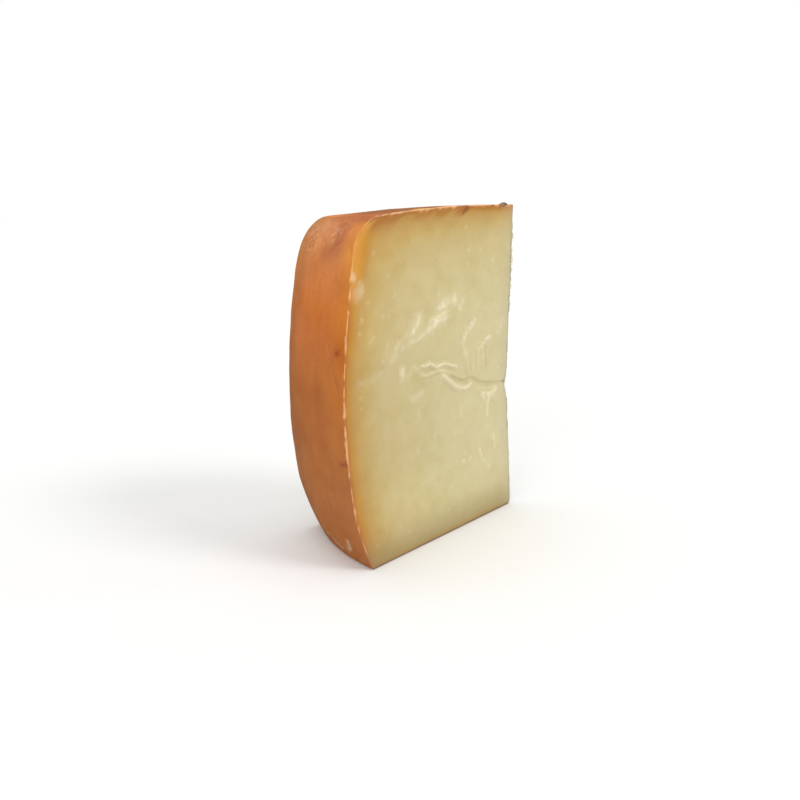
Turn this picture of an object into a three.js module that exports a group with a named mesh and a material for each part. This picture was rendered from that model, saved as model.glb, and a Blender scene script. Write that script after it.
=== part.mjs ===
// A wedge of smoked graviera, cut from a small drum-shaped wheel and sealed tight in clear film.
// One solid: barrel wall with round shoulders, two flat cuts, and a thin tip near the wheel's axis.
// Millimetres, +Z up. The wedge stands on the wheel's flat base, rind towards -X and tip towards +X.
import * as THREE from "three";
import { mergeVertices } from "three/addons/utils/BufferGeometryUtils.js";

// Driving dimensions of the wheel and of the wedge cut from it
const WHEEL_HEIGHT = 115;
const WHEEL_RADIUS = 90.5;
const WEDGE_ANGLE = THREE.MathUtils.degToRad(33.3);

// The wall's section: how far it draws in from its widest height, towards the top and the base
const WIDEST_HEIGHT = 43;
const BARREL_DRAW = 7.3;
const NEAR_SHOULDER = { rise: 7.5, run: 7.6, power: 1.4 };
const FAR_SHOULDER = { rise: 15, run: 7.1, power: 2.2 };
const BASE_EDGE = { rise: 20, run: 3.6, power: 1.15 };

// The top bows up a little between the rind and the tip, over the wheel's topmost layer
const TOP_BOW = { rise: 1.2, layer: 23 };

// The knife leaves the tip blunt, further from the axis at the base than at the top, and round at its foot
const TIP_WIDTH = 2.4;
const TIP_LEAN = 4.2;
const TIP_FOOT = { rise: 3, run: 1.3, power: 2 };

// The thin tip gives way under the film: a broad hollow with a nick at its deepest point
const TIP_HOLLOW = { height: 52, depth: 2.4, spread: 41 };
const TIP_NICK = { height: 49, depth: 1.2, spread: 3.5 };

// Low unevenness of the pressed wall and of the two cuts, with the lengths of one swing
const WALL_LUMP = { depth: 0.4, around: 44, up: 70 };
const CUT_WAVE = { depth: 0.3, along: 75, up: 120 };

// Grid of the surface, along the radius, across the angle and up the height
const GRID = { radius: 26, angle: 14, height: 44 };
const END_CROWDING = 0.7;

// Inset of a rounded corner, from 0 where the corner starts to its full run at the end of its rise
function cornerInset({ rise, run, power }, distanceToEnd) {
  const along = THREE.MathUtils.clamp(1 - distanceToEnd / rise, 0, 1);
  return run * (1 - (1 - along ** power) ** (1 / power));
}

// The shoulder's corner at a place across the wedge, a slant at the near cut and rounder at the far cut
function shoulderAt(towardsFarCut) {
  const share = (towardsFarCut + 1) / 2;
  const between = (size) => THREE.MathUtils.lerp(NEAR_SHOULDER[size], FAR_SHOULDER[size], share);
  return { rise: between("rise"), run: between("run"), power: between("power") };
}

// Radius of the wheel's wall at a height and a place across the wedge
function wallRadius(height, towardsFarCut) {
  const barrel = BARREL_DRAW * ((height - WIDEST_HEIGHT) / (WHEEL_HEIGHT / 2)) ** 2;
  const shoulder = cornerInset(shoulderAt(towardsFarCut), WHEEL_HEIGHT - height);
  const baseEdge = cornerInset(BASE_EDGE, height);
  return WHEEL_RADIUS - barrel - shoulder - baseEdge;
}

// A soft hollow around a height, as deep as stated at its middle
function hollowAt({ height: middle, depth, spread }, height) {
  return depth * Math.exp(-(((height - middle) / spread) ** 2));
}

// Distance of the blunt tip from the wheel's axis
function tipRadius(height) {
  const cutOff = TIP_WIDTH / 2 / Math.tan(WEDGE_ANGLE / 2);
  const lean = TIP_LEAN * (1 - height / WHEEL_HEIGHT);
  const hollows = hollowAt(TIP_HOLLOW, height) + hollowAt(TIP_NICK, height);
  return cutOff + lean + hollows + cornerInset(TIP_FOOT, height);
}

// Unevenness fades out towards the base, so that the wedge stands flat
function fadeToBase(height) {
  return THREE.MathUtils.smoothstep(height, 0, BASE_EDGE.rise);
}

// Shallow lumps of the pressed wall, in two swings that cross each other
function wallLump(angle, height) {
  const around = (2 * Math.PI * angle * WHEEL_RADIUS) / WALL_LUMP.around;
  const up = (2 * Math.PI * height) / WALL_LUMP.up;
  return (WALL_LUMP.depth / 2) * fadeToBase(height) * (Math.sin(around + up) + Math.cos(around / 2 - up));
}

// Slow waves that the knife leaves across a cut
function cutWave(radius, height) {
  const along = (2 * Math.PI * radius) / CUT_WAVE.along;
  const up = (2 * Math.PI * height) / CUT_WAVE.up;
  return CUT_WAVE.depth * fadeToBase(height) * Math.sin(along + up) * Math.cos(up);
}

// Height for a grid place from -1 to 1, with more rows near the shoulder and the base
function rowHeight(place) {
  const crowded = Math.sin((place * Math.PI) / 2);
  return (WHEEL_HEIGHT / 2) * (1 + THREE.MathUtils.lerp(place, crowded, END_CROWDING));
}

// Rise of the bowed top above a height, for a share of the way from the rind to the tip
function topBow(height, share) {
  const inLayer = THREE.MathUtils.smoothstep(height, WHEEL_HEIGHT - TOP_BOW.layer, WHEEL_HEIGHT);
  return TOP_BOW.rise * Math.sin(Math.PI * share) * inLayer;
}

// Point of the wedge for a place in a cube from -1 to 1: rind to tip, near cut to far cut, base to top
function wedgePoint({ x: towardsTip, y: towardsFarCut, z: towardsTop }) {
  const height = rowHeight(towardsTop);
  const angle = (towardsFarCut * WEDGE_ANGLE) / 2;
  const wall = wallRadius(height, towardsFarCut) + wallLump(angle, height);
  const tip = tipRadius(height);
  const share = (towardsTip + 1) / 2;
  const radius = THREE.MathUtils.lerp(wall, tip, share);
  const fromAxis = THREE.MathUtils.lerp(wall * Math.cos(angle), tip, share);
  const aside = THREE.MathUtils.lerp(wall * Math.sin(angle), (towardsFarCut * TIP_WIDTH) / 2, share);
  const wave = towardsFarCut * Math.sin(Math.PI * share) * cutWave(radius, height);
  return new THREE.Vector3(-fromAxis, aside + wave, height + topBow(height, share));
}

// A gridded cube bent into the wedge, then set on its base with the origin under its middle
function wedgeGeometry() {
  const cube = new THREE.BoxGeometry(2, 2, 2, GRID.radius, GRID.angle, GRID.height);
  cube.deleteAttribute("normal");
  cube.deleteAttribute("uv");
  const geometry = mergeVertices(cube);
  const places = geometry.getAttribute("position");
  const place = new THREE.Vector3();
  for (let i = 0; i < places.count; i += 1) {
    const { x, y, z } = wedgePoint(place.fromBufferAttribute(places, i));
    places.setXYZ(i, x, y, z);
  }
  geometry.computeBoundingBox();
  const { min, max } = geometry.boundingBox;
  geometry.translate(-(min.x + max.x) / 2, -(min.y + max.y) / 2, -min.z);
  geometry.computeVertexNormals();
  return geometry;
}

const cheese = new THREE.MeshStandardMaterial({
  name: "graviera",
  color: 0xd4c695,
  roughness: 0.45,
  metalness: 0,
});

const wedge = new THREE.Mesh(wedgeGeometry(), cheese);
wedge.name = "graviera_wedge";

const part = new THREE.Group();
part.name = "smoked_graviera";
part.add(wedge);

export default part;
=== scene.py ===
import math

import bpy
import numpy as np
from mathutils import Matrix, Vector, noise


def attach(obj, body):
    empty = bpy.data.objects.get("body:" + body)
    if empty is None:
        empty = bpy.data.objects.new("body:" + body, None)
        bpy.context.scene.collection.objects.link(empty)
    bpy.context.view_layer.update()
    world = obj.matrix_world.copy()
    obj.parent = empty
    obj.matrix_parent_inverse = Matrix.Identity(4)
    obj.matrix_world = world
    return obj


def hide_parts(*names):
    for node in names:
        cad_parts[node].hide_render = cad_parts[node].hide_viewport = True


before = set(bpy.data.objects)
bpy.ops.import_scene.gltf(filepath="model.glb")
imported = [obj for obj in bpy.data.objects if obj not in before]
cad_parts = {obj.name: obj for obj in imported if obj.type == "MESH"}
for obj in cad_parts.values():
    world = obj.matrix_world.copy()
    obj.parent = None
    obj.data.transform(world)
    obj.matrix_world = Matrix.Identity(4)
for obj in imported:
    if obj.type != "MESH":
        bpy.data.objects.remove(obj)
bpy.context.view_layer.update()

# The cheese
# A wedge of smoked graviera, a hard cheese pressed in a mould into a small drum-shaped wheel.
# Smoke and drying turn its skin into an orange-brown rind, and the paste inside stays ivory.
# The wedge is cut by hand from the rind to the wheel's axis, so its thin tip is a little uneven.
MM = 0.001
WHEEL_HEIGHT = 115
WHEEL_RADIUS = 90.5
WEDGE_ANGLE = math.radians(33.3)
WIDEST_HEIGHT = 43
BARREL_DRAW = 7.3
NEAR_SHOULDER = {"rise": 7.5, "run": 7.6, "power": 1.4}
FAR_SHOULDER = {"rise": 15, "run": 7.1, "power": 2.2}
BASE_EDGE = {"rise": 20, "run": 3.6, "power": 1.15}
TOP_BOW = {"rise": 1.2, "layer": 23}
TIP_WIDTH = 2.4
TIP_LEAN = 4.2
TIP_HOLLOW = {"middle": 52, "depth": 2.4, "spread": 41}
TIP_NICK = {"middle": 49, "depth": 1.2, "spread": 3.5}
TIP_FOOT = {"rise": 3, "run": 1.3, "power": 2}
WALL_LUMP = {"depth": 0.4, "around": 44, "up": 70}
CUT_WAVE = {"depth": 0.3, "along": 75, "up": 120}

# Folds that the tight film pressed into both cuts: rise, half width, and route in from the rind and up.
# The last one is a furrow that runs out of the nick in the tip.
PRESSED_FOLDS = [
    (0.75, 0.75, [(32.5, 63.2), (35, 63.9), (38.3, 64.4), (41.4, 62.8), (45.5, 63.3), (53.5, 60.4)]),
    (0.60, 0.80, [(33.5, 61), (37, 60.4), (42, 61.4), (46.7, 60.5), (49.8, 58.7), (54, 55.8)]),
    (0.95, 1.15, [(43.5, 60.4), (47.7, 57), (51.9, 53.7), (56.3, 52.4), (60.5, 53.7)]),
    (0.38, 1.10, [(64, 65.4), (67.6, 67.4), (71.5, 68.6)]),
    (0.35, 1.30, [(74, 68.6), (76, 70.6), (78, 73.5)]),
    (0.50, 1.30, [(55.3, 69.5), (56.5, 72.8), (60.6, 75)]),
    (0.40, 1.50, [(20.4, 69), (22.6, 73.5), (25.2, 75.5), (28.3, 77.1), (31.6, 81)]),
    (0.40, 1.50, [(24.9, 74), (28.2, 73.1), (34.8, 74.5), (37, 76.6), (40.7, 78.8), (45, 79.6), (49, 80.6)]),
    (0.20, 1.00, [(27.6, 61.4), (30.1, 64.8), (33.5, 62.6), (37, 59.6)]),
    (0.30, 1.20, [(62, 50), (66, 49.5), (70, 47.5), (74, 44)]),
    (-0.90, 0.65, [(46.5, 60), (52, 56.6), (56, 54.6), (60.8, 55.1), (65.3, 52.5), (72.3, 50.7), (85, 49.9)]),
]
# Fine creases pressed into both cuts, with a painted highlight along each on the film
FINE_CREASES = {"rise": 0.45, "half_width": 0.6, "count": 5, "apart": 2.75, "climb": 0.3, "painted_highlight": 0.14}
FINE_CREASE_ROUTE = [(57.7, 65.4), (58.6, 56.6)]

# A wrinkle slants across the wall's rind to the near arris: rise, half width, and route around and up
RIND_WRINKLE = (-0.6, 0.8, [(11, 77.5), (7, 69), (2, 58.5)])

# A crumb of rind stands up on the near rim of the top, close to the tip.
# Here and below, a pair of millimetres says where something starts and where it is full.
RIM_CRUMB = {"in_from_rind": 62, "half_length": 1.6, "rise": 0.7, "tint": 0.9, "tinted": (0.15, 0.5)}
CRUMB_EDGE = {"below_top": (0.8, 0.2), "in_from_cut": (2.4, 0.6)}

# The knife leaves the arrises of the cuts a little ragged, most of all high on the tip
ARRIS_WOBBLE = {"depth": 0.22, "length": 6, "reach": 2.5}
TIP_CRUMBLE = {"depth": 0.45, "length": 1.7, "starts": (70, 82), "ends": (111, 107)}
ON_TIP = (0.985, 1.0)
CLEAR_OF_BASE = (0, 8)

# Steps between the lines of the mesh from a place on, finest at the arrises and where the film is creased
ROW_STEPS = [(0, 1.1), (40, 0.6), (48, 0.4), (68, 0.6), (88, 0.85)]
COLUMN_STEPS = [(0, 1.0), (18, 0.75), (33, 0.45)]
CROSSING_STEPS = [(0, 1.0)]
ARRIS_STEP = 0.2
ARRIS_STEP_GROWTH = 0.3
ARRIS_LINES = 5
ARRIS_ROUNDS = 9

# How far the cheese lies under its film where the film clings
FILM_GAP = 0.12

# A fold fades out over this share of its route at each end, or over the shorter one, from just beyond it
FOLD_FADE = 0.15
SHORT_FADE = 0.12
BEYOND_END = 0.02

# Each seed of the noise reads it this much further on
SEED_SHIFT = (17.3, 5.1, 9.7)


def ease(low, high, value):
    """Smooth step from 0 at low to 1 at high"""
    share = np.clip((value - low) / (high - low), 0, 1)
    return share * share * (3 - 2 * share)


def corner_inset(rise, run, power, to_end):
    """Inset of a rounded corner, from 0 where it starts to its full run at the end of its rise"""
    along = np.clip(1 - to_end / rise, 0, 1)
    return run * (1 - (1 - along**power) ** (1 / power))


def wall_radius(height, across):
    """Radius of the barrel wall; its shoulder is a slant at the near cut and rounder at the far cut"""
    barrel = BARREL_DRAW * ((height - WIDEST_HEIGHT) / (WHEEL_HEIGHT / 2)) ** 2
    share = (across + 1) / 2
    rise, run, power = [near + (FAR_SHOULDER[size] - near) * share for size, near in NEAR_SHOULDER.items()]
    shoulder = corner_inset(rise, run, power, WHEEL_HEIGHT - height)
    return WHEEL_RADIUS - barrel - shoulder - corner_inset(*BASE_EDGE.values(), height)


def hollow(middle, depth, spread, height):
    """A soft hollow around a height, as deep as stated at its middle"""
    return depth * np.exp(-(((height - middle) / spread) ** 2))


def tip_radius(height):
    """Distance of the blunt tip from the wheel's axis"""
    cut_off = TIP_WIDTH / 2 / math.tan(WEDGE_ANGLE / 2)
    lean = TIP_LEAN * (1 - height / WHEEL_HEIGHT)
    hollows = hollow(*TIP_HOLLOW.values(), height) + hollow(*TIP_NICK.values(), height)
    return cut_off + lean + hollows + corner_inset(*TIP_FOOT.values(), height)


def wedge_form(share, across, height):
    """Points of the wedge, for shares from rind to tip, places from near to far cut, and heights"""
    angle = across * WEDGE_ANGLE / 2
    fade = ease(0, BASE_EDGE["rise"], height)
    around = 2 * math.pi * angle * WHEEL_RADIUS / WALL_LUMP["around"]
    up = 2 * math.pi * height / WALL_LUMP["up"]
    lump = WALL_LUMP["depth"] / 2 * fade * (np.sin(around + up) + np.cos(around / 2 - up))
    wall = wall_radius(height, across) + lump
    tip = tip_radius(height)
    along = 2 * math.pi * (wall + (tip - wall) * share) / CUT_WAVE["along"]
    up = 2 * math.pi * height / CUT_WAVE["up"]
    wave = CUT_WAVE["depth"] * fade * np.sin(along + up) * np.cos(up)
    x = -(wall * np.cos(angle) * (1 - share) + tip * share)
    y = wall * np.sin(angle) * (1 - share) + across * TIP_WIDTH / 2 * share
    y = y + across * np.sin(math.pi * share) * wave
    in_layer = ease(WHEEL_HEIGHT - TOP_BOW["layer"], WHEEL_HEIGHT, height)
    z = height + TOP_BOW["rise"] * np.sin(math.pi * share) * in_layer
    return np.stack([x, y, z], -1)


def rule(length, steps):
    """Places of the mesh lines along a length, each one step on from the last"""
    places = [0.0]
    while places[-1] < length:
        to_end = min(places[-1], length - places[-1])
        step = [size for start, size in steps if start <= places[-1]][-1]
        places.append(places[-1] + min(step, ARRIS_STEP + ARRIS_STEP_GROWTH * to_end))
    return np.array(places) * length / places[-1]


def shell_of(counts):
    """The outside of a box of mesh lines: each point's line numbers, and the quads of its six sides"""
    outside = np.zeros(counts, bool)
    for axis in range(3):
        np.moveaxis(outside, axis, 0)[[0, -1]] = True
    number = np.full(counts, -1)
    number[outside] = np.arange(outside.sum())
    sides = []
    for axis in range(3):
        for end in (0, -1):
            sheet = np.moveaxis(number, axis, 0)[end]
            corners = sheet[:-1, :-1], sheet[1:, :-1], sheet[1:, 1:], sheet[:-1, 1:]
            quads = np.stack(corners, -1).reshape(-1, 4)
            faces_out = (end == -1) != (axis == 1)
            sides.append(quads if faces_out else quads[:, ::-1])
    return np.argwhere(outside), sides


def gather(at_corners, quads, count):
    """Sum at each point of what the corners of the quads around it hold"""
    columns = np.moveaxis(at_corners, -1, 0)
    return np.stack([np.bincount(quads.ravel(), column.ravel(), count) for column in columns], -1)


def round_arrises(points, quads, loose):
    """Loose points drift towards the middle of their neighbours, which rounds off the sharp arrises"""
    neighbours = 2 * np.bincount(quads.ravel(), minlength=len(points))
    for _ in range(ARRIS_ROUNDS):
        beside = points[np.roll(quads, 1, 1)] + points[np.roll(quads, -1, 1)]
        middle = gather(beside, quads, len(points)) / neighbours[:, None]
        points = np.where(loose[:, None], (points + middle) / 2, points)
    return points


def outward_of(points, quads):
    """Unit normals at the points"""
    corner = points[quads]
    normal = np.cross(corner[:, 2] - corner[:, 0], corner[:, 3] - corner[:, 1])
    total = gather(np.repeat(normal[:, None], 4, 1), quads, len(points))
    return total / np.linalg.norm(total, axis=1, keepdims=True)


def beside_route(along, height, route):
    """Distance from a route of straight stretches, and the share of the way along it"""
    route = np.array(route, float)
    steps = np.diff(route, axis=0)
    lengths = np.linalg.norm(steps, axis=1)
    walked = np.concatenate([[0], np.cumsum(lengths)])
    nearest, share = np.full(along.shape, 1e9), np.zeros(along.shape)
    for start, step, length, before in zip(route, steps, lengths, walked):
        on_step = np.clip(((along - start[0]) * step[0] + (height - start[1]) * step[1]) / length**2, 0, 1)
        away = np.hypot(along - start[0] - on_step * step[0], height - start[1] - on_step * step[1])
        closer = away < nearest
        nearest = np.where(closer, away, nearest)
        share = np.where(closer, (before + on_step * length) / walked[-1], share)
    return nearest, share


def fold_shape(along, height, half_width, route, fade=FOLD_FADE):
    """A fold beside a route, 1 on its ridge and 0 well away from it; it may fade out towards both ends"""
    away, share = beside_route(along, height, route)
    shape = np.exp(-((away / half_width) ** 2))
    if fade:
        shape = shape * ease(-BEYOND_END, fade, share) * ease(1 + BEYOND_END, 1 - fade, share)
    return shape


def swell(points, size, seed):
    """Smooth noise from -1 to 1, with swells of about a size in millimetres"""
    shift = Vector(SEED_SHIFT) * seed
    return np.array([noise.noise(Vector(point) / size + shift) for point in points])


rows = rule(WHEEL_HEIGHT, ROW_STEPS)
cut_length = WHEEL_RADIUS - tip_radius(WIDEST_HEIGHT)
columns = rule(cut_length, COLUMN_STEPS)
arc_length = WHEEL_RADIUS * WEDGE_ANGLE
crossings = rule(arc_length, CROSSING_STEPS)
line_counts = np.array([len(columns), len(crossings), len(rows)])
line_numbers, sides = shell_of(line_counts)
quads = np.concatenate(sides)

# Where each point is: share of the way from rind to tip, place from near to far cut, height,
# and how far it is from the rind, the tip, the top and the cuts
share = columns[line_numbers[:, 0]] / cut_length
across = crossings[line_numbers[:, 1]] / arc_length * 2 - 1
height = rows[line_numbers[:, 2]]
below_top = WHEEL_HEIGHT - height
in_from_rind = share * (wall_radius(height, across) - tip_radius(height))
in_from_tip = (1 - share) / np.maximum(share, 0.01) * in_from_rind
around_rind = (across + 1) / 2 * arc_length
in_from_cut = (1 - abs(across)) / 2 * (arc_length * (1 - share) + TIP_WIDTH * share)
on_near_cut = line_numbers[:, 1] == 0
on_far_cut = line_numbers[:, 1] == line_counts[1] - 1
on_cut = on_near_cut | on_far_cut
on_near_side = across < 0
on_wall = line_numbers[:, 0] == 0

skin = wedge_form(share, across, height)
skin[:, 0] -= (skin[:, 0].min() + skin[:, 0].max()) / 2
from_edge = np.minimum(line_numbers, line_counts - 1 - line_numbers)
skin = round_arrises(skin, quads, np.sort(from_edge, 1)[:, 1] < ARRIS_LINES)
outward = outward_of(skin, quads)
relief = np.zeros(len(skin))
for rise, half_width, route in PRESSED_FOLDS:
    relief += rise * fold_shape(in_from_rind, height, half_width, route) * on_cut
creased = np.zeros(len(skin))
for i in range(FINE_CREASES["count"]):
    along, climb = FINE_CREASES["apart"] * i, FINE_CREASES["climb"] * i
    route = [(at + along, up + climb) for at, up in FINE_CREASE_ROUTE]
    creased += fold_shape(in_from_rind, height, FINE_CREASES["half_width"], route) * on_cut
relief += FINE_CREASES["rise"] * creased
rise, half_width, route = RIND_WRINKLE
relief += rise * fold_shape(around_rind, height, half_width, route) * on_wall
crumb = np.exp(-(((in_from_rind - RIM_CRUMB["in_from_rind"]) / RIM_CRUMB["half_length"]) ** 2))
crumb *= ease(*CRUMB_EDGE["below_top"], below_top) * ease(*CRUMB_EDGE["in_from_cut"], in_from_cut)
crumb *= on_near_side
relief += RIM_CRUMB["rise"] * crumb
to_sides = [np.minimum(in_from_rind, in_from_tip), in_from_cut, np.minimum(height, below_top)]
to_arris = np.sort(to_sides, axis=0)[1]
ragged = ARRIS_WOBBLE["depth"] * ease(ARRIS_WOBBLE["reach"], 0, to_arris) * ease(*CLEAR_OF_BASE, height)
relief += ragged * swell(skin, ARRIS_WOBBLE["length"], 6)
on_tip = ease(*ON_TIP, share)
high_on_tip = ease(*TIP_CRUMBLE["starts"], height) * ease(*TIP_CRUMBLE["ends"], height) * on_tip
relief += TIP_CRUMBLE["depth"] * high_on_tip * swell(skin, TIP_CRUMBLE["length"], 8)
skin += outward * relief[:, None]
outward = outward_of(skin, quads)


def mesh_piece(name, points, quads):
    """A smooth-shaded piece from points in millimetres"""
    mesh = bpy.data.meshes.new(name)
    mesh.from_pydata((points * MM).tolist(), [], quads.tolist())
    mesh.shade_smooth()
    piece = bpy.data.objects.new(name, mesh)
    bpy.context.collection.objects.link(piece)
    return piece


def paint(piece, name, values):
    """A value at each point, which the materials read by its name"""
    piece.data.attributes.new(name, "FLOAT", "POINT").data.foreach_set("value", values.astype(np.float32))


def linear(hex_colour):
    """sRGB hex to a linear colour"""
    srgb = [int(hex_colour[i : i + 2], 16) / 255 for i in (1, 3, 5)]
    return [c / 12.92 if c <= 0.04045 else ((c + 0.055) / 1.055) ** 2.4 for c in srgb] + [1.0]


def add(tree, kind, feeds, stops=(), **settings):
    """Adds a node: feeds give inputs a value or the output to link, and stops fill a colour ramp"""
    made = tree.nodes.new(kind)
    for name, value in settings.items():
        setattr(made, name, value)
    if stops:
        ramp = made.color_ramp.elements
        ramp[0].position, ramp[0].color = stops[0][0], linear(stops[0][1])
        ramp[1].position, ramp[1].color = stops[-1][0], linear(stops[-1][1])
        for place, colour in stops[1:-1]:
            ramp.new(place).color = linear(colour)
    for socket, value in feeds.items():
        if isinstance(value, bpy.types.NodeSocket):
            tree.links.new(value, made.inputs[socket])
        else:
            made.inputs[socket].default_value = value
    return made


def new_material(name):
    """An empty node material"""
    material = bpy.data.materials.new(name)
    material.use_nodes = True
    material.node_tree.nodes.clear()
    return material, material.node_tree


# Paste of a hard cheese: dense, waxy and faintly see-through, so light sinks in and softens it.
# The eye gets smooth ivory with a few pale crystals, going through tan to amber towards the rind.
PASTE_BY_DEPTH = [
    (0, "#a85a0e"),
    (0.8, "#b66e10"),
    (1.5, "#bb7c14"),
    (2.6, "#bb882a"),
    (5, "#bd9750"),
    (8.5, "#bfa462"),
    (12, "#c2ad76"),
    (16, "#c5b481"),
    (24, "#c7ba88"),
    (34, "#cabf93"),
    (60, "#cac39d"),
]
PASTE_REACH = 60
REACH_UNEVENNESS = 0.15
PASTE_MOTTLE = 6
PASTE_GRAIN = 0.9
GRAIN_SHARE = 0.35
PASTE_SHADES = [(0.3, "#f3f0e6"), (0.5, "#fbf9f5"), (0.7, "#ffffff")]
CRYSTAL_SPACING = 7
CRYSTAL_SIZE = 1.0
CRYSTAL_PALLOR = 0.24
CRYSTAL = "#efe6c4"
ARRIS_HIGHLIGHT = "#ebb577"
CRUMB = "#33261a"

# Tints that lie over the paste one after the other, each where it is painted further down;
# among them are painted shade, a painted glow and a painted highlight
PASTE_TINTS = [
    ("end_shade", "#90805a"),
    ("tip_grey", "#b3a68c"),
    ("tip_shade_line", "#8d918a"),
    ("shoulder_glow", "#d2932c"),
    ("crust", "#a05e0a"),
    ("knot_rust", "#7d4000"),
    ("foot_shadow_line", "#5f523c"),
    ("arris_highlight", ARRIS_HIGHLIGHT),
    ("crumb", CRUMB),
]


def layered(tree, colour, layers):
    """A colour with layers over it in turn: how much of each, its colour, and the way they blend"""
    for amount, over, blend in layers:
        feeds = {0: amount, 6: colour, 7: over}
        colour = add(tree, "ShaderNodeMix", feeds, data_type="RGBA", blend_type=blend).outputs[2]
    return colour


def paste_material():
    material, tree = new_material("pressed_cheese_paste")
    place = add(tree, "ShaderNodeTexCoord", {}).outputs["Object"]
    painted = {}
    for name in ["rind_depth", "fleck"] + [name for name, _ in PASTE_TINTS]:
        painted[name] = add(tree, "ShaderNodeAttribute", {}, attribute_name=name).outputs["Fac"]
    uneven = add(
        tree,
        "ShaderNodeTexNoise",
        {"Vector": place, "Scale": 1 / (PASTE_MOTTLE * MM), "Detail": 3.0},
    ).outputs["Fac"]
    spread = add(
        tree,
        "ShaderNodeMapRange",
        {"Value": uneven, "To Min": 1 - REACH_UNEVENNESS, "To Max": 1 + REACH_UNEVENNESS},
    ).outputs[0]
    depth = painted["rind_depth"]
    reach = add(tree, "ShaderNodeMath", {0: depth, 1: spread}, operation="MULTIPLY").outputs[0]
    scaled = add(tree, "ShaderNodeMath", {0: reach, 1: PASTE_REACH}, operation="DIVIDE").outputs[0]
    stops = [(mm / PASTE_REACH, colour) for mm, colour in PASTE_BY_DEPTH]
    smoked_in = add(tree, "ShaderNodeValToRGB", {"Fac": scaled}, stops=stops).outputs["Color"]
    grain = add(
        tree,
        "ShaderNodeTexNoise",
        {"Vector": place, "Scale": 1 / (PASTE_GRAIN * MM), "Detail": 4.0},
    )
    mottle = add(tree, "ShaderNodeMix", {0: GRAIN_SHARE, 2: uneven, 3: grain.outputs["Fac"]}).outputs[0]
    shade = add(tree, "ShaderNodeValToRGB", {"Fac": mottle}, stops=PASTE_SHADES).outputs["Color"]
    warp = add(
        tree,
        "ShaderNodeVectorMath",
        {0: grain.outputs["Color"], "Scale": CRYSTAL_SIZE * MM},
        operation="SCALE",
    ).outputs[0]
    warped = add(tree, "ShaderNodeVectorMath", {0: place, 1: warp}, operation="ADD").outputs[0]
    cells = add(tree, "ShaderNodeTexVoronoi", {"Vector": warped, "Scale": 1 / (CRYSTAL_SPACING * MM)})
    size = CRYSTAL_SIZE / CRYSTAL_SPACING
    crystal = add(
        tree,
        "ShaderNodeMapRange",
        {
            "Value": cells.outputs["Distance"],
            "From Min": size,
            "From Max": size / 4,
            "To Max": CRYSTAL_PALLOR,
        },
        interpolation_type="SMOOTHSTEP",
    ).outputs[0]
    chance = add(tree, "ShaderNodeSeparateColor", {0: cells.outputs["Color"]}).outputs[0]
    shown = add(tree, "ShaderNodeMath", {0: crystal, 1: chance}, operation="MULTIPLY").outputs[0]
    pale = add(tree, "ShaderNodeMath", {0: shown, 1: painted["fleck"]}, operation="MAXIMUM").outputs[0]
    layers = [(1.0, shade, "MULTIPLY"), (pale, linear(CRYSTAL), "MIX")]
    layers += [(painted[name], linear(colour), "MIX") for name, colour in PASTE_TINTS]
    bump = add(
        tree,
        "ShaderNodeBump",
        {"Height": grain.outputs["Fac"], "Strength": 0.1, "Distance": 0.15 * MM},
    )
    surface = add(
        tree,
        "ShaderNodeBsdfPrincipled",
        {
            "Base Color": layered(tree, smoked_in, layers),
            "Roughness": 0.55,
            "IOR": 1.45,
            "Specular IOR Level": 0.15,
            "Subsurface Weight": 0.25,
            "Subsurface Radius": (1.0, 0.85, 0.5),
            "Subsurface Scale": 1.2 * MM,
            "Normal": bump.outputs[0],
        },
    )
    add(tree, "ShaderNodeOutputMaterial", {"Surface": surface.outputs[0]})
    return material


# Smoked rind: the cheese's own skin, dried, pressed smooth by the mould's cloth and coloured by smoke.
# The eye gets orange-brown with soft blotches and the cloth's fine ribs. Its colours by height are partly
# painted light and shade: lighter on the shoulder and darker towards the foot.
RIND_AND_SHADE_BY_HEIGHT = [(0, "#b5743f"), (23, "#b57036"), (58, "#bd6f22"), (88, "#d9803a"), (108, "#e3965c")]
ARRIS_AMBER = [(0, "#cb7414"), (75, "#cb7414"), (104, "#e89a3e"), (115, "#d98c3e")]
TOP_SKIN_AND_SHADE = "#8b664a"
RIND_BLOTCH = 11
BLOTCH_SHADES = [(0.32, "#f0e8e2"), (0.5, "#faf7f4"), (0.68, "#ffffff")]
RIND_GRAIN = 1.3
GRAIN_SHADES = [(0.3, "#f6f2ee"), (0.45, "#fcfaf9"), (0.7, "#ffffff")]
STREAK = {"across": 2.2, "up": 16}
STREAK_SHADES = [(0.35, "#faf7f5"), (0.65, "#ffffff")]
SMOKE = "#a45a3f"
CRACKLE = "#f3bd86"
CRACKLE_VEIN = (0.5, 0.66)
SCAR_AND_SHADE = "#9c4014"

# The cloth's ribs from one to the next; at a scale of 1 the wave texture has this many to a unit of length
CLOTH_RIB = 0.8
RIBS_A_UNIT = 20 / (2 * math.pi)
RIB_SHADES = [(0.2, "#efe3d9"), (0.8, "#ffffff")]


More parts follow.
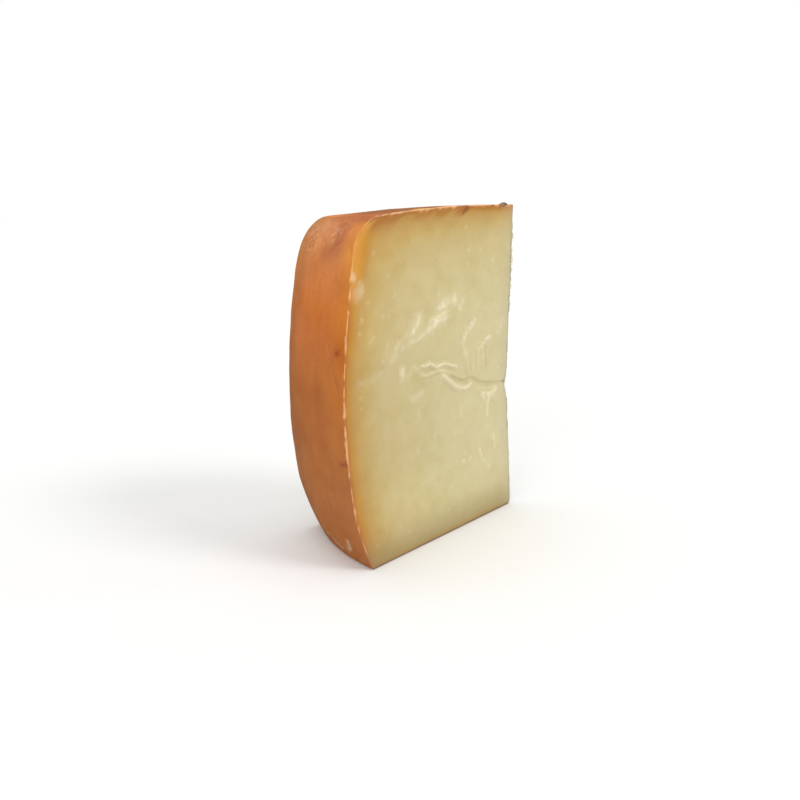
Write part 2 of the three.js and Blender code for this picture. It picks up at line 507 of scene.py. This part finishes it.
def rind_material():
    material, tree = new_material("smoked_rind")
    place = add(tree, "ShaderNodeTexCoord", {}).outputs["Object"]
    painted = {}
    for name in ["amber_edge", "top_skin_and_shade", "cloth_ribs", "smoke", "crackle", "scar_and_shade", "arris_highlight", "crumb"]:
        painted[name] = add(tree, "ShaderNodeAttribute", {}, attribute_name=name).outputs["Fac"]
    z = add(tree, "ShaderNodeSeparateXYZ", {0: place}).outputs["Z"]
    up = add(tree, "ShaderNodeMath", {0: z, 1: WHEEL_HEIGHT * MM}, operation="DIVIDE").outputs[0]
    # Painted light and shade by height, over the rind's own colour
    rind_stops = [(mm / WHEEL_HEIGHT, colour) for mm, colour in RIND_AND_SHADE_BY_HEIGHT]
    rind = add(tree, "ShaderNodeValToRGB", {"Fac": up}, stops=rind_stops).outputs["Color"]
    amber_stops = [(mm / WHEEL_HEIGHT, colour) for mm, colour in ARRIS_AMBER]
    amber = add(tree, "ShaderNodeValToRGB", {"Fac": up}, stops=amber_stops).outputs["Color"]
    blotch = add(
        tree,
        "ShaderNodeTexNoise",
        {"Vector": place, "Scale": 1 / (RIND_BLOTCH * MM), "Detail": 4.0},
    ).outputs["Fac"]
    grain = add(
        tree,
        "ShaderNodeTexNoise",
        {"Vector": place, "Scale": 1 / (RIND_GRAIN * MM), "Detail": 5.0},
    ).outputs["Fac"]
    stretch = [1 / (STREAK[way] * MM) for way in ("across", "across", "up")]
    drawn = add(tree, "ShaderNodeVectorMath", {0: place, 1: stretch}, operation="MULTIPLY").outputs[0]
    streak = add(tree, "ShaderNodeTexNoise", {"Vector": drawn, "Scale": 1.0, "Detail": 2.0}).outputs["Fac"]
    rib_scale = 1 / (CLOTH_RIB * MM) / RIBS_A_UNIT
    ribs = add(
        tree,
        "ShaderNodeTexWave",
        {"Vector": place, "Scale": rib_scale, "Distortion": 1.0, "Detail": 1.0},
        bands_direction="Z",
    ).outputs["Fac"]
    layers = [(painted["amber_edge"], amber, "MIX"), (painted["top_skin_and_shade"], linear(TOP_SKIN_AND_SHADE), "MIX")]
    patterns = [
        (1.0, blotch, BLOTCH_SHADES),
        (1.0, grain, GRAIN_SHADES),
        (1.0, streak, STREAK_SHADES),
        (painted["cloth_ribs"], ribs, RIB_SHADES),
    ]
    for amount, pattern, shades in patterns:
        shade = add(tree, "ShaderNodeValToRGB", {"Fac": pattern}, stops=shades).outputs["Color"]
        layers.append((amount, shade, "MULTIPLY"))
    thin, thick = CRACKLE_VEIN
    vein = add(tree, "ShaderNodeMapRange", {"Value": grain, "From Min": thin, "From Max": thick}).outputs[0]
    crackle = add(tree, "ShaderNodeMath", {0: vein, 1: painted["crackle"]}, operation="MULTIPLY").outputs[0]
    layers += [
        (painted["smoke"], linear(SMOKE), "MIX"),
        (crackle, linear(CRACKLE), "MIX"),
        (painted["scar_and_shade"], linear(SCAR_AND_SHADE), "MIX"),
        (painted["arris_highlight"], linear(ARRIS_HIGHLIGHT), "MIX"),
        (painted["crumb"], linear(CRUMB), "MIX"),
    ]
    relief = add(tree, "ShaderNodeMix", {0: painted["cloth_ribs"], 2: grain, 3: ribs}).outputs[0]
    bump = add(tree, "ShaderNodeBump", {"Height": relief, "Strength": 0.08, "Distance": 0.1 * MM})
    surface = add(
        tree,
        "ShaderNodeBsdfPrincipled",
        {
            "Base Color": layered(tree, rind, layers),
            "Roughness": 0.55,
            "IOR": 1.45,
            "Specular IOR Level": 0.0,
            "Normal": bump.outputs[0],
        },
    )
    add(tree, "ShaderNodeOutputMaterial", {"Surface": surface.outputs[0]})
    return material


# What shows on the wall, the tip, the near and the far cut, the base and the top: 0 is paste and 1 is rind
SIDE_FINISHES = [1, 0, 0, 0, 1, 1]

# Smoke reaches furthest in through the wall, less through the top and the base; corners get it from both
SMOKE_WAY = {"top": 1.0, "more_at_tip": 0.6, "base": 5.5, "least": 0.05, "blend": 1.3}
SHOULDER_CORNER = {"height": 106, "reach": 15, "pull": 0.65, "fades": (1, 0.1)}
# A painted glow: brighter amber in the paste under the near shoulder
GLOW = {"strength": 0.85, "in_from_rind": (6, 1.5), "height": (84, 98), "below_top": (0.5, 3)}

# A painted highlight along the arrises: a pale line with swells and gaps. It is thinner low down,
# whole along the rim of the top, and nearly lost on the near shoulder.
PALE_LINE = {"strength": 0.8, "edge": (1, 0.2), "height": (2, 14)}
LINE_WIDTH = {"least": 0.45, "more": 0.85, "length": 2.2, "wide": (-0.1, 0.5), "low": 0.6, "height": (30, 60)}
LINE_GAPS = {"length": 2.8, "kept": (-0.22, 0.05)}
WHOLE_LINE = {"strength": 0.75, "starts": (5, 9), "ends": (44, 28), "below_top": 2}
LOST_LINE = {"strength": 0.75, "height": (98, 104), "in_from_rind": (4, 1)}

# Brown crust under the rim of the top, and rusty knots in it: how dark, half width, route in and up
CRUST_BAND = {"strength": 0.72, "edge": (1, 0.1), "share": (1.05, 0.75)}
CRUST_DEPTH = {"least": 2.0, "more": 1.4, "length": 7, "deep": (0.1, 0.5)}
RUST_KNOTS = [
    (0.75, 2.4, [(3, 112.2), (8, 113.4), (15, 114)]),
    (0.50, 1.5, [(21, 113), (25, 113), (29, 113.6)]),
    (0.60, 1.3, [(31, 113.2), (35, 112.8), (37, 113.6)]),
    (0.80, 1.7, [(40.6, 114.2), (43.2, 113.4), (46, 112.9)]),
]
KNOT_HEART = (0.8, 0.9, [(42.8, 115.2), (44, 114.2), (45.4, 113.1), (44.6, 112)])

# Darker paste under the top, across the middle and low down by the rind, and along the tip; at the foot it is
# painted shade
FOOT_SHADE = {"strength": 0.6, "height": (16, 0)}
TOP_SHADE = {"strength": 0.35, "below_top": (8, 0.5), "less_at_tip": 0.6}
MIDDLE_SHADE = {"strength": 0.12, "starts": (20, 36), "ends": (80, 64), "in_from_rind": (62, 31)}
RIND_SHADE = {"strength": 0.12, "height": (45, 12), "in_from_rind": (16, 2)}
TIP_SHADE = {"strength": 0.3, "in_from_tip": (9, 0)}
# A painted shade line on the very edge of the tip
TIP_SHADE_LINE = {"strength": 0.45, "more_where_crumbled": 0.3, "in_from_tip": (1.0, 0.2)}
# A painted shadow line along the very foot
FOOT_SHADOW_LINE = {"strength": 0.65, "height": (1.2, 0.1)}

# Pale flecks in the near cut, in from the rind and up
FLECK = {"strength": 0.22, "size": 0.65}
PALE_FLECKS = [
    *[(8.4, 103.4), (16.2, 95.8), (8, 88.6), (15, 83.6), (6, 83), (5.5, 79.7), (11.7, 77.4), (7, 59.4)],
    *[(19.7, 89.7), (10.5, 76.1), (18.1, 74.2), (16.5, 69), (53.8, 100.4), (54.2, 95.7), (62.1, 81.4)],
    *[(17.7, 10.8), (5.4, 8.1), (31.6, 35.4), (40.6, 38.8), (51, 37.1), (68, 96.2), (50.5, 107.9)],
]

# On the wall: a smoky patch and a dark rim on the shoulder, its crackled skin, amber beside the cuts,
# the ribs where the cloth lay tight, the dull skin of the top, and the same colour as painted shade on the
# far wall
SMOKY_PATCH = {"around": 14, "height": 111, "reach": 13, "fades": (1, 0.2), "length": 7, "dark": (-0.5, 0.4)}
SMOKE_TINT = {"strength": 0.6, "in_from_rind": (16, 5)}
DARK_RIM = {"strength": 0.9, "height": (112.2, 114.4), "around": (37, 27)}
CRACKLED = {"strength": 0.45, "starts": (101, 107), "ends": (115, 113), "around": (3, 16)}
CRACKLE_PATCHES = {"length": 8, "shown": (-0.5, 0.1)}
AMBER_EDGE = {"strength": 0.85, "in_from_cut": (9, 0), "height": (40, 70)}
RIBBED = {"starts": (34, 44), "ends": (92, 78), "around": (6, 14)}
RIB_PATCHES = {"least": 0.3, "length": 9, "clear": (-0.25, 0.25)}
DULL_TOP = {"strength": 0.75, "below_top": (1.5, 0), "in_from_rind": (0.5, 13)}
DULL_EDGE = {"bays": 5, "bay_length": 7, "nicks": 2, "nick_length": 2.5}
FAR_WALL_SHADE = {"strength": 0.3, "around": (20, 46)}

# Old cracks in the wall's rind, the last one a painted shade line beside the wrinkle:
# how dark, half width, and route around from the near cut and up
SCARS_AND_SHADE = [
    (0.8, 1.0, [(2.9, 74.6), (5.8, 73.4)]),
    (0.9, 0.9, [(-2, 39.8), (5, 38.2)]),
    (0.3, 0.6, [(11, 106.5), (7, 108.6)]),
    (0.3, 0.6, [(10.4, 77.5), (6.4, 69), (1.4, 58.5)]),
]

cheese = mesh_piece("cheese", skin - outward * FILM_GAP, quads)
cheese.data.materials.append(paste_material())
cheese.data.materials.append(rind_material())
finish_of = np.repeat(SIDE_FINISHES, [len(side) for side in sides])
cheese.data.polygons.foreach_set("material_index", finish_of.astype(np.int32))

from_corner = np.hypot(in_from_rind, height - SHOULDER_CORNER["height"]) / SHOULDER_CORNER["reach"]
by_corner = 1 - SHOULDER_CORNER["pull"] * ease(*SHOULDER_CORNER["fades"], from_corner)
from_top = (SMOKE_WAY["top"] + SMOKE_WAY["more_at_tip"] * share) * below_top
from_base = SMOKE_WAY["base"] * height
ways_in = np.maximum([in_from_rind * by_corner, from_top, from_base], SMOKE_WAY["least"])
blend = SMOKE_WAY["blend"]
paint(cheese, "rind_depth", (ways_in**-blend).sum(0) ** (-1 / blend))
# The painted glow under the near shoulder
glow = ease(*GLOW["in_from_rind"], in_from_rind) * ease(*GLOW["height"], height)
paint(cheese, "shoulder_glow", GLOW["strength"] * glow * ease(*GLOW["below_top"], below_top))

# The painted highlight along the arrises
wide = ease(*LINE_WIDTH["wide"], swell(skin, LINE_WIDTH["length"], 1))
line_width = LINE_WIDTH["least"] + LINE_WIDTH["more"] * wide
line_width *= LINE_WIDTH["low"] + (1 - LINE_WIDTH["low"]) * ease(*LINE_WIDTH["height"], height)
kept = ease(*LINE_GAPS["kept"], swell(skin, LINE_GAPS["length"], 7))
whole = ease(*WHOLE_LINE["starts"], in_from_rind) * ease(*WHOLE_LINE["ends"], in_from_rind)
whole *= below_top < WHOLE_LINE["below_top"]
to_rim = np.minimum(in_from_rind, below_top) + in_from_cut
highlight_line = ease(*PALE_LINE["edge"], to_rim / line_width) * ease(*PALE_LINE["height"], height)
highlight_line *= np.maximum(kept, WHOLE_LINE["strength"] * whole)
lost = ease(*LOST_LINE["height"], height) * ease(*LOST_LINE["in_from_rind"], in_from_rind)
highlight_line *= 1 - LOST_LINE["strength"] * lost * on_near_side
paint(cheese, "arris_highlight", PALE_LINE["strength"] * highlight_line)

deep = ease(*CRUST_DEPTH["deep"], swell(skin, CRUST_DEPTH["length"], 2))
crust_depth = CRUST_DEPTH["least"] + CRUST_DEPTH["more"] * deep
crust = CRUST_BAND["strength"] * ease(*CRUST_BAND["edge"], below_top / crust_depth)
crust *= ease(*CRUST_BAND["share"], share)
for dark, half_width, route in RUST_KNOTS:
    crust = np.maximum(crust, dark * fold_shape(in_from_rind, height, half_width, route, SHORT_FADE))
paint(cheese, "crust", crust)
dark, half_width, route = KNOT_HEART
paint(cheese, "knot_rust", dark * fold_shape(in_from_rind, height, half_width, route, SHORT_FADE))

# Painted shade at the foot, and darker paste under the top, across the middle and low down by the rind
shade = FOOT_SHADE["strength"] * ease(*FOOT_SHADE["height"], height)
by_top = ease(*TOP_SHADE["below_top"], below_top) * (1 - TOP_SHADE["less_at_tip"] * share)
shade += TOP_SHADE["strength"] * by_top
middle = ease(*MIDDLE_SHADE["starts"], height) * ease(*MIDDLE_SHADE["ends"], height)
shade += MIDDLE_SHADE["strength"] * middle * ease(*MIDDLE_SHADE["in_from_rind"], in_from_rind)
by_rind = ease(*RIND_SHADE["height"], height) * ease(*RIND_SHADE["in_from_rind"], in_from_rind)
shade += RIND_SHADE["strength"] * by_rind
paint(cheese, "end_shade", shade)
paint(cheese, "tip_grey", TIP_SHADE["strength"] * ease(*TIP_SHADE["in_from_tip"], in_from_tip))
# Painted shade line on the tip's edge
tip_shade_line = TIP_SHADE_LINE["strength"] + TIP_SHADE_LINE["more_where_crumbled"] * high_on_tip
paint(cheese, "tip_shade_line", tip_shade_line * ease(*TIP_SHADE_LINE["in_from_tip"], in_from_tip))
# Painted shadow line along the foot
paint(cheese, "foot_shadow_line", FOOT_SHADOW_LINE["strength"] * ease(*FOOT_SHADOW_LINE["height"], height))
paint(cheese, "crumb", RIM_CRUMB["tint"] * ease(*RIM_CRUMB["tinted"], crumb))
fleck = np.zeros(len(skin))
for at, up in PALE_FLECKS:
    fleck += np.exp(-((np.hypot(in_from_rind - at, height - up) / FLECK["size"]) ** 2))
paint(cheese, "fleck", FLECK["strength"] * fleck * on_near_cut)

patch = np.hypot(around_rind - SMOKY_PATCH["around"], height - SMOKY_PATCH["height"])
patch = ease(*SMOKY_PATCH["fades"], patch / SMOKY_PATCH["reach"])
patch *= ease(*SMOKY_PATCH["dark"], swell(skin, SMOKY_PATCH["length"], 1))
dark_rim = DARK_RIM["strength"] * ease(*DARK_RIM["height"], height) * ease(*DARK_RIM["around"], around_rind)
smoky = np.maximum(patch, dark_rim) * ease(*SMOKE_TINT["in_from_rind"], in_from_rind)
paint(cheese, "smoke", SMOKE_TINT["strength"] * smoky)
crackled = ease(*CRACKLED["starts"], height) * ease(*CRACKLED["ends"], height)
crackled *= ease(*CRACKLED["around"], around_rind) * on_wall
crackled *= ease(*CRACKLE_PATCHES["shown"], swell(skin, CRACKLE_PATCHES["length"], 11))
paint(cheese, "crackle", CRACKLED["strength"] * crackled)
amber = ease(*AMBER_EDGE["in_from_cut"], in_from_cut) * ease(*AMBER_EDGE["height"], height)
paint(cheese, "amber_edge", AMBER_EDGE["strength"] * amber * on_wall)
ribbed = ease(*RIBBED["starts"], height) * ease(*RIBBED["ends"], height)
ribbed *= ease(*RIBBED["around"], around_rind) * on_wall
clear = ease(*RIB_PATCHES["clear"], swell(skin, RIB_PATCHES["length"], 9))
paint(cheese, "cloth_ribs", ribbed * (RIB_PATCHES["least"] + (1 - RIB_PATCHES["least"]) * clear))
# Old cracks, and a painted shade line beside the wrinkle
scar_and_shade = sum(dark * fold_shape(around_rind, height, half_width, route) for dark, half_width, route in SCARS_AND_SHADE)
paint(cheese, "scar_and_shade", scar_and_shade * on_wall)
ragged_in = in_from_rind + DULL_EDGE["bays"] * swell(skin, DULL_EDGE["bay_length"], 4)
ragged_in += DULL_EDGE["nicks"] * swell(skin, DULL_EDGE["nick_length"], 10)
dull = ease(*DULL_TOP["below_top"], below_top) * ease(*DULL_TOP["in_from_rind"], ragged_in)
# Painted shade towards the far cut, in the colour of the top's skin
far_wall_shade = FAR_WALL_SHADE["strength"] * ease(*FAR_WALL_SHADE["around"], around_rind) * on_wall
paint(cheese, "top_skin_and_shade", np.maximum(DULL_TOP["strength"] * dull, far_wall_shade))
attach(cheese, "root")
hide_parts("graviera_wedge")

# The film
# Clear plastic film, drawn tight over the whole wedge by vacuum and clinging to it all round.
# It lifts off in small folds and puckers on the cuts, above all around the nick in the tip.

# Pale patches where air stays under the film on a cut, painted as highlights on its puckers:
# how pale, half width, route in from the rind and up
AIR_AND_HIGHLIGHT_ON_CUT = [
    (0.62, 2.8, [(37.6, 77), (40, 78.6), (43.6, 79.6)]),
    (0.38, 1.6, [(29, 73.4), (33, 74.4), (38, 77)]),
    (0.58, 2.4, [(29, 76.8), (30, 78.4), (31.2, 80.2)]),
    (0.34, 1.6, [(26, 75.6), (29, 77.4)]),
    (0.58, 2.5, [(42.2, 83.4), (45.2, 84.2), (48.8, 84.6)]),
    (0.44, 1.6, [(52.3, 81.8), (53, 83.6)]),
    (0.34, 1.5, [(24.2, 71.4), (29, 73.2)]),
    (0.36, 1.8, [(20.6, 69.4), (21.4, 71.6), (22.6, 73.4)]),
    (0.44, 1.6, [(25.2, 62.2), (25, 65.4)]),
    (0.26, 1.2, [(27.4, 61), (30.1, 64.8), (33.5, 62.6), (37.4, 59.2)]),
    (0.14, 1.2, [(6, 64), (13, 64.6), (20, 65.4)]),
    (0.32, 1.4, [(30, 54), (32.6, 54.6), (34.8, 55.4)]),
    (0.16, 1.2, [(33.5, 53.6), (33.4, 47)]),
    (0.26, 1.6, [(74, 69.6), (75.4, 71.4), (77, 73.4)]),
    (0.44, 1.5, [(55, 69), (56.5, 72.8), (61, 75.4)]),
    (0.24, 1.1, [(55, 70.6), (57.4, 62)]),
    (0.34, 1.4, [(64.4, 65.4), (67, 67.2), (69.4, 68.4)]),
    (0.46, 0.8, [(34.3, 63.7), (38.3, 64.6), (41.4, 62.8), (45.5, 63.3), (53, 60.6)]),
    (0.46, 1.1, [(43.2, 60.6), (47.7, 57), (51.9, 53.7), (56.3, 52.4), (61, 53.8)]),
    (0.26, 0.8, [(35, 60.6), (42, 61.4), (46.7, 60.5), (49.8, 58.7)]),
    (0.40, 0.6, [(72.5, 51.5), (76, 51.2), (83, 50.9)]),
    (0.55, 1.3, [(67, 48.4), (70.4, 47.4), (74.4, 48.2)]),
    (0.36, 1.1, [(66, 48.6), (68.4, 45)]),
    (0.38, 1.2, [(70.4, 47), (69, 40)]),
    (0.28, 1.2, [(54, 42.8), (54.4, 46.8)]),
    (0.34, 1.0, [(63.2, 28.2), (64.2, 24)]),
    (0.28, 1.0, [(65, 23.4), (66, 21.2)]),
    (0.34, 1.0, [(66.8, 20.8), (68, 18.2)]),
    (0.30, 1.0, [(72, 31.6), (72.4, 28.6)]),
    (0.30, 1.0, [(72.2, 27.8), (72.6, 25.2)]),
    (0.24, 1.0, [(52.6, 25), (55.2, 25.6)]),
    (0.24, 1.0, [(56, 24.4), (59.4, 26)]),
    (0.32, 0.8, [(0.2, 98.6), (1.2, 95.8)]),
    (0.11, 5.0, [(35, 75), (40, 79), (46, 82)]),
    (0.09, 4.5, [(22, 63), (27, 70)]),
    (0.08, 4.5, [(58, 72), (72, 70)]),
]

# The same on the rind, around from the near cut and up: beside the base and on the shoulder
AIR_AND_HIGHLIGHT_ON_RIND = [
    (0.52, 1.0, [(9.3, 9.2), (9.8, 7), (10.2, 5)]),
    (0.26, 0.9, [(22.8, 6.6), (21.4, 4.8), (18, 4.2)]),
    (0.30, 0.9, [(17.8, 4.6), (17.2, 2.8)]),
    (0.18, 0.8, [(13.6, 5.2), (10.4, 4.2)]),
    (0.20, 0.8, [(29.2, 7.9), (25.9, 6.8), (23.2, 6.9)]),
    (0.16, 0.6, [(5, 3.6), (3.4, 1.4)]),
    (0.20, 0.7, [(26, 16), (27, 18)]),
    (0.20, 0.7, [(30.4, 21), (31.4, 23.6)]),
    (0.08, 2.0, [(17, 110.4), (26, 111), (34, 111.6)]),
    (0.22, 0.6, [(41, 109.4), (37, 110.8), (33, 111.5)]),
    (0.22, 0.6, [(33, 112.2), (29.5, 113), (26.6, 113.4)]),
    (0.18, 0.6, [(38, 112), (34, 112.8)]),
    (0.16, 0.6, [(17.4, 111.8), (12.3, 110.2)]),
    (0.22, 0.6, [(13.8, 106.7), (12, 108.8)]),
    (0.06, 0.5, [(11.6, 77.5), (7.6, 69), (2.6, 58.5)]),
]

# Up to this half width it is an even line along a fold; a wider one is a patch, mottled and round at its ends
EVEN_LINE = 1.15
PATCHINESS = {"length": 2.2, "least": 0.65, "full": (-0.3, 0.4)}

# How far the film lifts off, and how pale the painted highlight on it is: over the air, in a blister on the
# arris of each cut, in ruffles along the tip, and in slack swells everywhere above the base
AIR_LIFT = 0.35
BLISTER = {"in_from_rind": 3.4, "height": 92.5, "across": 3.4, "up": 4.4, "edge": (1.1, 0.2)}
BLISTER_RISE = {"lift": 0.5, "painted_highlight": 0.28}
TIP_RUFFLE = {"lift": 0.6, "painted_highlight": 0.45, "length": 1.9, "raised": (-0.2, 0.4), "low_down": 0.25}
SLACK = {"height": 0.05, "length": 5, "above_base": (0, 2)}

# The film's painted highlight: pale over the air, along the folds and creases, on the blister and on the
# ruffles
patchy = ease(*PATCHINESS["full"], swell(skin, PATCHINESS["length"], 3))
patchy = PATCHINESS["least"] + (1 - PATCHINESS["least"]) * patchy
pale = np.zeros(len(skin))
smooth = np.zeros(len(skin))
for painted_highlight, half_width, route in AIR_AND_HIGHLIGHT_ON_CUT:
    is_patch = half_width > EVEN_LINE
    fade = 0 if is_patch else SHORT_FADE
    near = fold_shape(in_from_rind, height, half_width, route, fade) * on_near_cut
    far_height = below_top if is_patch else height
    far = fold_shape(in_from_rind, far_height, half_width, route, fade) * on_far_cut
    smooth = np.maximum(smooth, painted_highlight * (near + far))
    pale = np.maximum(pale, painted_highlight * (near + far) * (patchy if is_patch else 1))
for painted_highlight, half_width, route in AIR_AND_HIGHLIGHT_ON_RIND:
    on_rind = painted_highlight * fold_shape(around_rind, height, half_width, route, SHORT_FADE) * on_wall
    smooth = np.maximum(smooth, on_rind)
    pale = np.maximum(pale, on_rind * patchy)
pale = np.maximum(pale, FINE_CREASES["painted_highlight"] * creased)
lifted = AIR_LIFT * smooth
from_blister = np.hypot(
    (in_from_rind - BLISTER["in_from_rind"]) / BLISTER["across"],
    (height - BLISTER["height"]) / BLISTER["up"],
)
blister = ease(*BLISTER["edge"], from_blister) * on_cut
lifted += BLISTER_RISE["lift"] * blister
pale = np.maximum(pale, BLISTER_RISE["painted_highlight"] * blister * patchy)
ruffle = np.maximum(TIP_RUFFLE["low_down"] * ease(*CLEAR_OF_BASE, height) * on_tip, high_on_tip)
ruffle *= ease(*TIP_RUFFLE["raised"], swell(skin, TIP_RUFFLE["length"], 5))
lifted += TIP_RUFFLE["lift"] * ruffle
pale = np.maximum(pale, TIP_RUFFLE["painted_highlight"] * ruffle)
slack = SLACK["height"] * (1 + swell(skin, SLACK["length"], 2))
lifted += slack * ease(*SLACK["above_base"], height)


# Vacuum film of clear polyamide and polythene, about a tenth of a millimetre thick, smooth as it was blown.
# The eye gets gloss on every fold, and a pale veil of painted highlight wherever air gets between film and
# cheese.
FILM_CRINKLE = 1.6
FILM_ROUGHNESS = 0.22
FILM_GLOSS = 0.75
FILM_GLOSS_LIMIT = 0.03
AIR_GLOSS = 0.08
HIGHLIGHT_VEIL = "#fdf2cc"


def film_material():
    material, tree = new_material("clear_vacuum_film")
    place = add(tree, "ShaderNodeTexCoord", {}).outputs["Object"]
    painted_highlight = add(tree, "ShaderNodeAttribute", {}, attribute_name="painted_highlight").outputs["Fac"]
    crinkle = add(
        tree,
        "ShaderNodeTexNoise",
        {"Vector": place, "Scale": 1 / (FILM_CRINKLE * MM), "Detail": 3.0},
    ).outputs["Fac"]
    bump = add(tree, "ShaderNodeBump", {"Height": crinkle, "Strength": 0.05, "Distance": 0.1 * MM}).outputs[0]
    clear = add(tree, "ShaderNodeBsdfTransparent", {"Color": (1, 1, 1, 1)}).outputs[0]
    # The pale veil is the painted highlight
    highlight_veil = add(tree, "ShaderNodeBsdfDiffuse", {"Color": linear(HIGHLIGHT_VEIL)}).outputs[0]
    body = add(tree, "ShaderNodeMixShader", {0: painted_highlight, 1: clear, 2: highlight_veil}).outputs[0]
    gloss = add(
        tree,
        "ShaderNodeBsdfGlossy",
        {"Color": (1, 1, 1, 1), "Roughness": FILM_ROUGHNESS, "Normal": bump},
    ).outputs[0]
    facing = add(tree, "ShaderNodeFresnel", {"IOR": 1.5, "Normal": bump}).outputs[0]
    shine = add(tree, "ShaderNodeMath", {0: facing, 1: FILM_GLOSS}, operation="MULTIPLY").outputs[0]
    held = add(tree, "ShaderNodeMath", {0: shine, 1: FILM_GLOSS_LIMIT}, operation="MINIMUM").outputs[0]
    lit = add(tree, "ShaderNodeMath", {0: painted_highlight, 1: AIR_GLOSS, 2: held}, operation="MULTIPLY_ADD").outputs[0]
    surface = add(tree, "ShaderNodeMixShader", {0: lit, 1: body, 2: gloss})
    add(tree, "ShaderNodeOutputMaterial", {"Surface": surface.outputs[0]})
    return material


film = mesh_piece("film", skin + outward * lifted[:, None], quads)
film.data.materials.append(film_material())
paint(film, "painted_highlight", pale)
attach(film, "root")
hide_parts("graviera_wedge")

# The studio
# A pale floor under an even sky, with a soft light from the right in front, a weaker one from the left
# and one overhead, all far off. The camera stands where the photograph was taken, tilted slightly.
FLOOR_SIZE = 40.0
FLOOR = "#f3f3f2"
SKY_STRENGTH = 0.42
SKY_SHOWN = 1.0

# Each light's name, the way towards it, its strength, and how many degrees wide it is
SOFT_LIGHTS = [
    ("key_light", (0.5, -0.67, 0.6), 1.1, 20),
    ("window_light", (0.88, -0.41, 0.26), 0.35, 12),
    ("fill_light", (-0.6, -0.7, 0.45), 0.7, 50),
    ("top_light", (-0.1, 0.1, 1.0), 1.25, 60),
]
CAMERA_PLACE = (-130.7, -247.9, 120.2)
CAMERA_TURN, CAMERA_PITCH, CAMERA_ROLL = 26.54, 14.27, 3.35
CAMERA_LENS = 36
CAMERA_SENSOR = 36
CAMERA_NEAREST = 10

floor = mesh_piece(
    "floor",
    np.array([(-1, -1, 0), (1, -1, 0), (1, 1, 0), (-1, 1, 0)]) * FLOOR_SIZE / 2 / MM,
    np.array([(0, 1, 2, 3)]),
)
floor_material, floor_tree = new_material("pale_floor")
floor_shader = add(floor_tree, "ShaderNodeBsdfDiffuse", {"Color": linear(FLOOR)})
add(floor_tree, "ShaderNodeOutputMaterial", {"Surface": floor_shader.outputs[0]})
floor.data.materials.append(floor_material)

for name, place, strength, spread in SOFT_LIGHTS:
    light = bpy.data.lights.new(name, "SUN")
    light.energy = strength
    light.angle = math.radians(spread)
    lamp = bpy.data.objects.new(name, light)
    lamp.rotation_euler = (-Vector(place)).to_track_quat("-Z", "Y").to_euler()
    bpy.context.collection.objects.link(lamp)

world = bpy.data.worlds.new("even_sky")
world.use_nodes = True
sky = world.node_tree
sky.nodes.clear()
ray = add(sky, "ShaderNodeLightPath", {})
seen = add(sky, "ShaderNodeMix", {0: ray.outputs["Is Camera Ray"], 2: SKY_STRENGTH, 3: SKY_SHOWN})
backdrop = add(sky, "ShaderNodeBackground", {"Color": (1, 1, 1, 1), "Strength": seen.outputs[0]})
add(sky, "ShaderNodeOutputWorld", {"Surface": backdrop.outputs[0]})
bpy.context.scene.world = world
bpy.context.scene.view_settings.view_transform = "Standard"

camera = bpy.data.objects.new("camera", bpy.data.cameras.new("camera"))
camera.data.lens = CAMERA_LENS
camera.data.sensor_width = CAMERA_SENSOR
camera.data.clip_start = CAMERA_NEAREST * MM
turn = Matrix.Rotation(-math.radians(CAMERA_TURN), 4, "Z")
pitch = Matrix.Rotation(math.radians(90 - CAMERA_PITCH), 4, "X")
roll = Matrix.Rotation(-math.radians(CAMERA_ROLL), 4, "Z")
camera.matrix_world = Matrix.Translation(Vector(CAMERA_PLACE) * MM) @ turn @ pitch @ roll
bpy.context.collection.objects.link(camera)
bpy.context.scene.camera = camera
